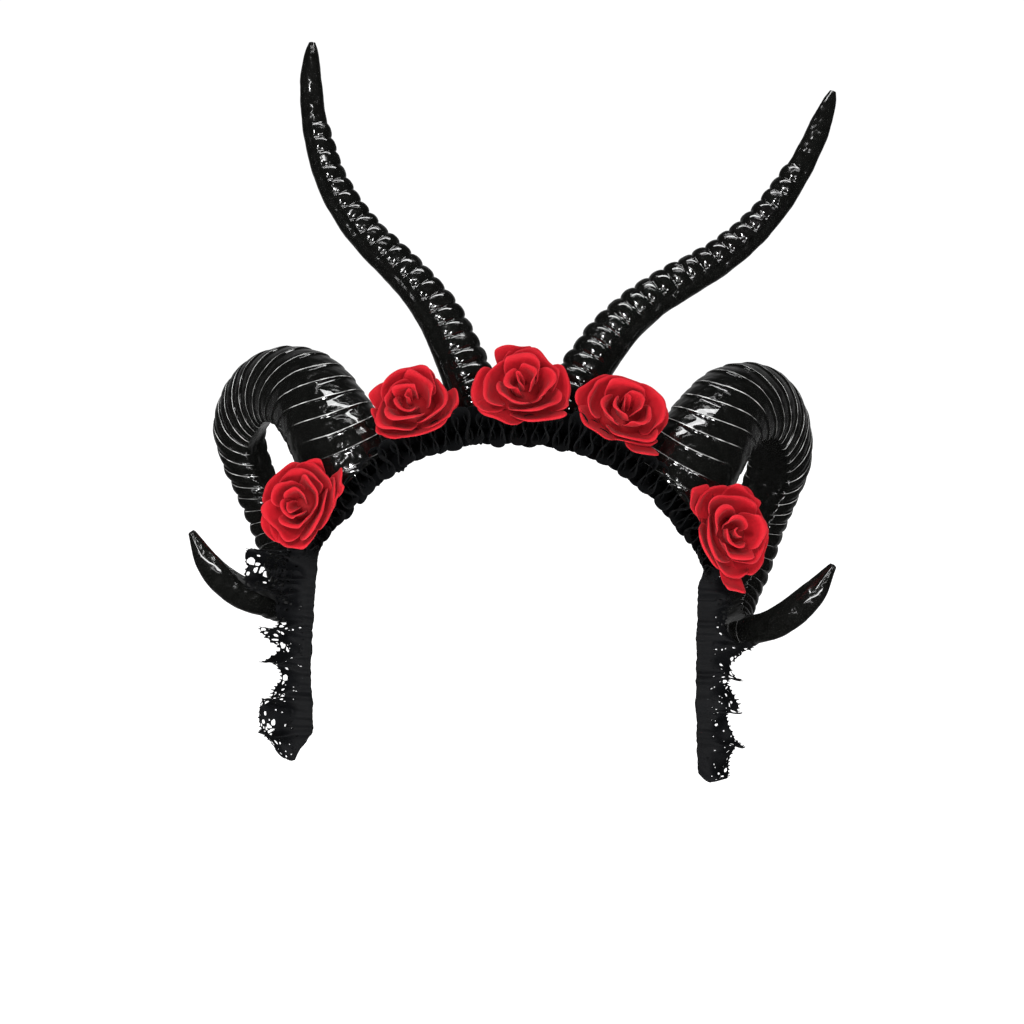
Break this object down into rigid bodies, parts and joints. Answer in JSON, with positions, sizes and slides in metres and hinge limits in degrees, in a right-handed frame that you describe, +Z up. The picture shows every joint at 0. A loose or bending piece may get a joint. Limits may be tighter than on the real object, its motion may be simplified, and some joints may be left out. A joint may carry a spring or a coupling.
{
  "type": "costume horn headband",
  "caption": "Hair hoop with tall ridged horns, curled ram horns, cloth roses, a gathered crown ruffle and lace side frills.",
  "frame": {"origin": "middle of the hoop's inner face at the crown, where it rests on the head", "axes": "+X to the right of the front view, -Y to the wearer's front, +Z up"},
  "size_m": [0.2714, 0.1273, 0.2979],
  "materials": {
    "horn_gloss": "deep gloss black moulding",
    "band_cloth": "black woven cover",
    "ruffle_cloth": "stiff black chiffon",
    "lace": "black net lace with a raised flower pattern",
    "petal_cloth": "soft matt red cloth"
  },
  "bodies": {
    "root": {"hoop": "band_cloth", "crown_ruffle": "ruffle_cloth", "lace_frill_left": "lace", "lace_frill_right": "lace", "tall_horn_left": "horn_gloss", "tall_horn_right": "horn_gloss", "ram_horn_left": "horn_gloss", "ram_horn_right": "horn_gloss", "rose_crown": "petal_cloth", "rose_front_left": "petal_cloth", "rose_front_right": "petal_cloth", "rose_side_left": "petal_cloth", "rose_side_right": "petal_cloth"}
  },
  "joints": []
}
